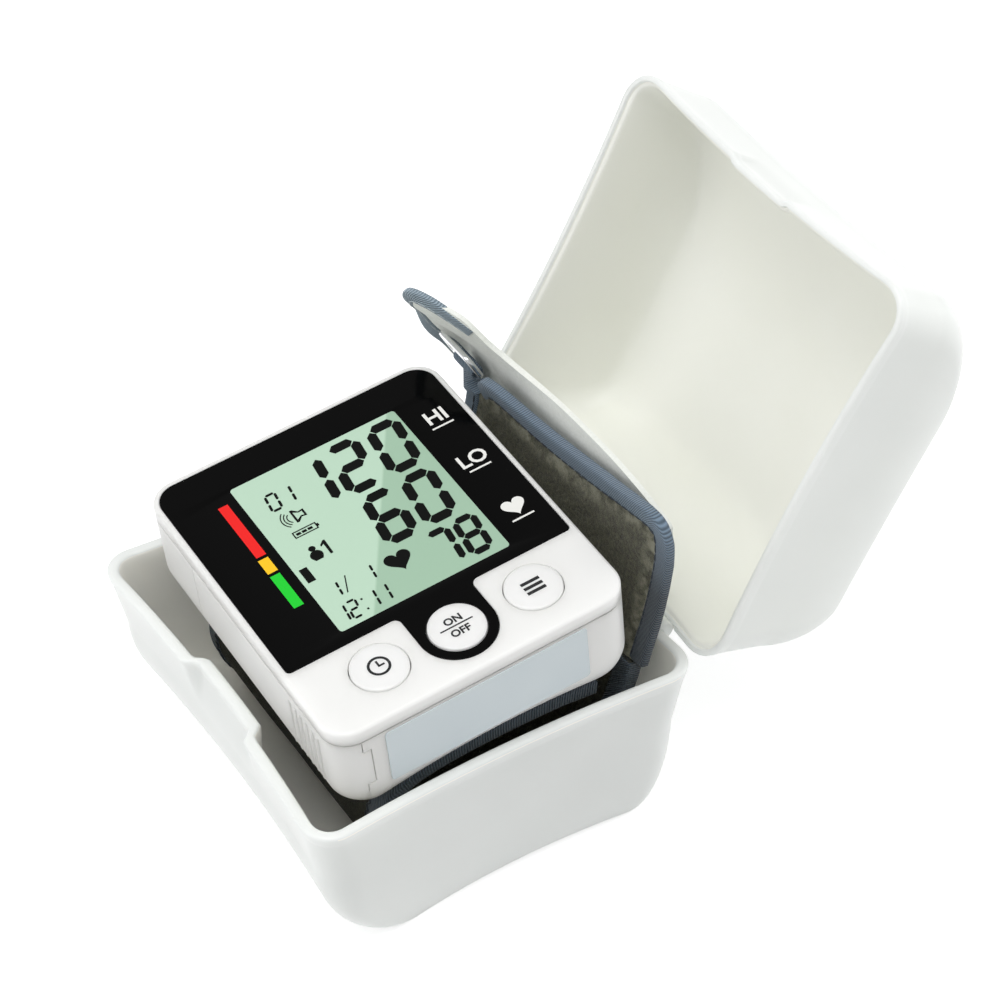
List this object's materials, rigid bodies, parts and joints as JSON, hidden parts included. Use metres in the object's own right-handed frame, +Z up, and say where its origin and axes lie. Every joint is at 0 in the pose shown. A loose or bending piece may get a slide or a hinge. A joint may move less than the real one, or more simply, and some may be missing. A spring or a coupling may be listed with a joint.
{
  "type": "wrist blood pressure monitor with case",
  "caption": "Wrist blood pressure monitor with a display and push buttons, lying on its rolled cuff in an open hinged clamshell case.",
  "frame": {"origin": "centre of the case's rim outline, brought down to the flat underside that the case stands on", "axes": "+X from the case's front with the thumb recess towards its hinge, +Y along the hinge towards the far end, +Z up"},
  "size_m": [0.139, 0.0834, 0.1053],
  "materials": {
    "case_white": "smooth glossy white moulding",
    "body_white": "smooth satin white moulding",
    "button_white": "smooth white caps",
    "lens_black": "polished black window",
    "lcd_grey_green": "reflective display with dark segments",
    "holder_grey": "plain moulding",
    "board_green": "solder mask",
    "device_black": "moulded device bodies",
    "steel": "plain steel",
    "ring_chrome": "plated wire",
    "cell_sleeve": "printed sleeve over a steel can",
    "tube_silicone": "soft translucent tube",
    "rating_film": "blank printed film",
    "felt_olive": "loop-faced lining",
    "felt_grey": "smooth cover cloth",
    "bladder_grey": "thin sealed sheet",
    "webbing_slate": "narrow webbing"
  },
  "bodies": {
    "case_base": {"case_base": "case_white", "hinge_pin_far": "steel", "hinge_pin_near": "steel"},
    "case_lid": {"case_lid": "case_white"},
    "set_button": {"set_button": "button_white"},
    "start_button": {"start_button": "button_white"},
    "memory_button": {"memory_button": "button_white"},
    "battery_door": {"battery_door": "body_white"},
    "strap": {"cuff_flap": "felt_olive", "strap_tongue": "felt_grey", "ring_tab": "webbing_slate"},
    "metal_ring": {"metal_ring": "ring_chrome"},
    "monitor": {"front_housing": "body_white", "lens_window": "lens_black", "lcd_glass": "lcd_grey_green", "lcd_holder": "holder_grey", "set_switch": "device_black", "start_switch": "device_black", "memory_switch": "device_black", "circuit_board": "board_green", "rear_housing": "body_white", "housing_screw_1": "steel", "housing_screw_2": "steel", "housing_screw_3": "steel", "housing_screw_4": "steel", "cell_1": "cell_sleeve", "cell_2": "cell_sleeve", "plain_contact_1": "steel", "plain_contact_2": "steel", "sprung_contact_1": "steel", "sprung_contact_2": "steel", "air_pump": "holder_grey", "release_valve": "device_black", "pressure_sensor": "device_black", "buzzer": "device_black", "air_tube": "tube_silicone", "rating_plate": "rating_film", "cuff_cover": "felt_grey", "cuff_lining": "felt_olive", "cuff_bladder": "bladder_grey", "cuff_plate": "body_white"}
  },
  "joints": [
    {"name": "lid_hinge", "type": "hinge", "parent": "case_base", "child": "case_lid", "pos_m": [0.04045, 0, 0.03554], "axis": [0, 1, 0], "range_deg": [-118.9, 0], "deforming": ["cuff_flap", "strap_tongue"]},
    {"name": "monitor_lift", "type": "slide", "parent": "case_base", "child": "monitor", "axis": [0, 0, 1], "range_m": [0, 0.08]},
    {"name": "set_press", "type": "slide", "parent": "monitor", "child": "set_button", "axis": [0.0995, 0.0152, -0.9949], "range_m": [0, 0.0006], "stiffness_N_per_m": 300},
    {"name": "start_press", "type": "slide", "parent": "monitor", "child": "start_button", "axis": [0.0995, 0.0152, -0.9949], "range_m": [0, 0.0006], "stiffness_N_per_m": 300},
    {"name": "memory_press", "type": "slide", "parent": "monitor", "child": "memory_button", "axis": [0.0995, 0.0152, -0.9949], "range_m": [0, 0.0006], "stiffness_N_per_m": 300},
    {"name": "battery_door_slide", "type": "slide", "parent": "monitor", "child": "battery_door", "axis": [-0.995, 0.0139, -0.0993], "range_m": [0, 0.0028]},
    {"name": "strap_tuck", "type": "slide", "parent": "monitor", "child": "strap", "axis": [-0.3714, 0, -0.9285], "range_m": [0, 0.0087]},
    {"name": "ring_swing", "type": "hinge", "parent": "strap", "child": "metal_ring", "pos_m": [0.0359, 0.031, 0.059], "axis": [0, -1, 0], "range_deg": [-10, 50]}
  ],
  "couplings": [
    {"joint": "strap_tuck", "follows": "lid_hinge", "m_per_rad": -0.004152}
  ]
}
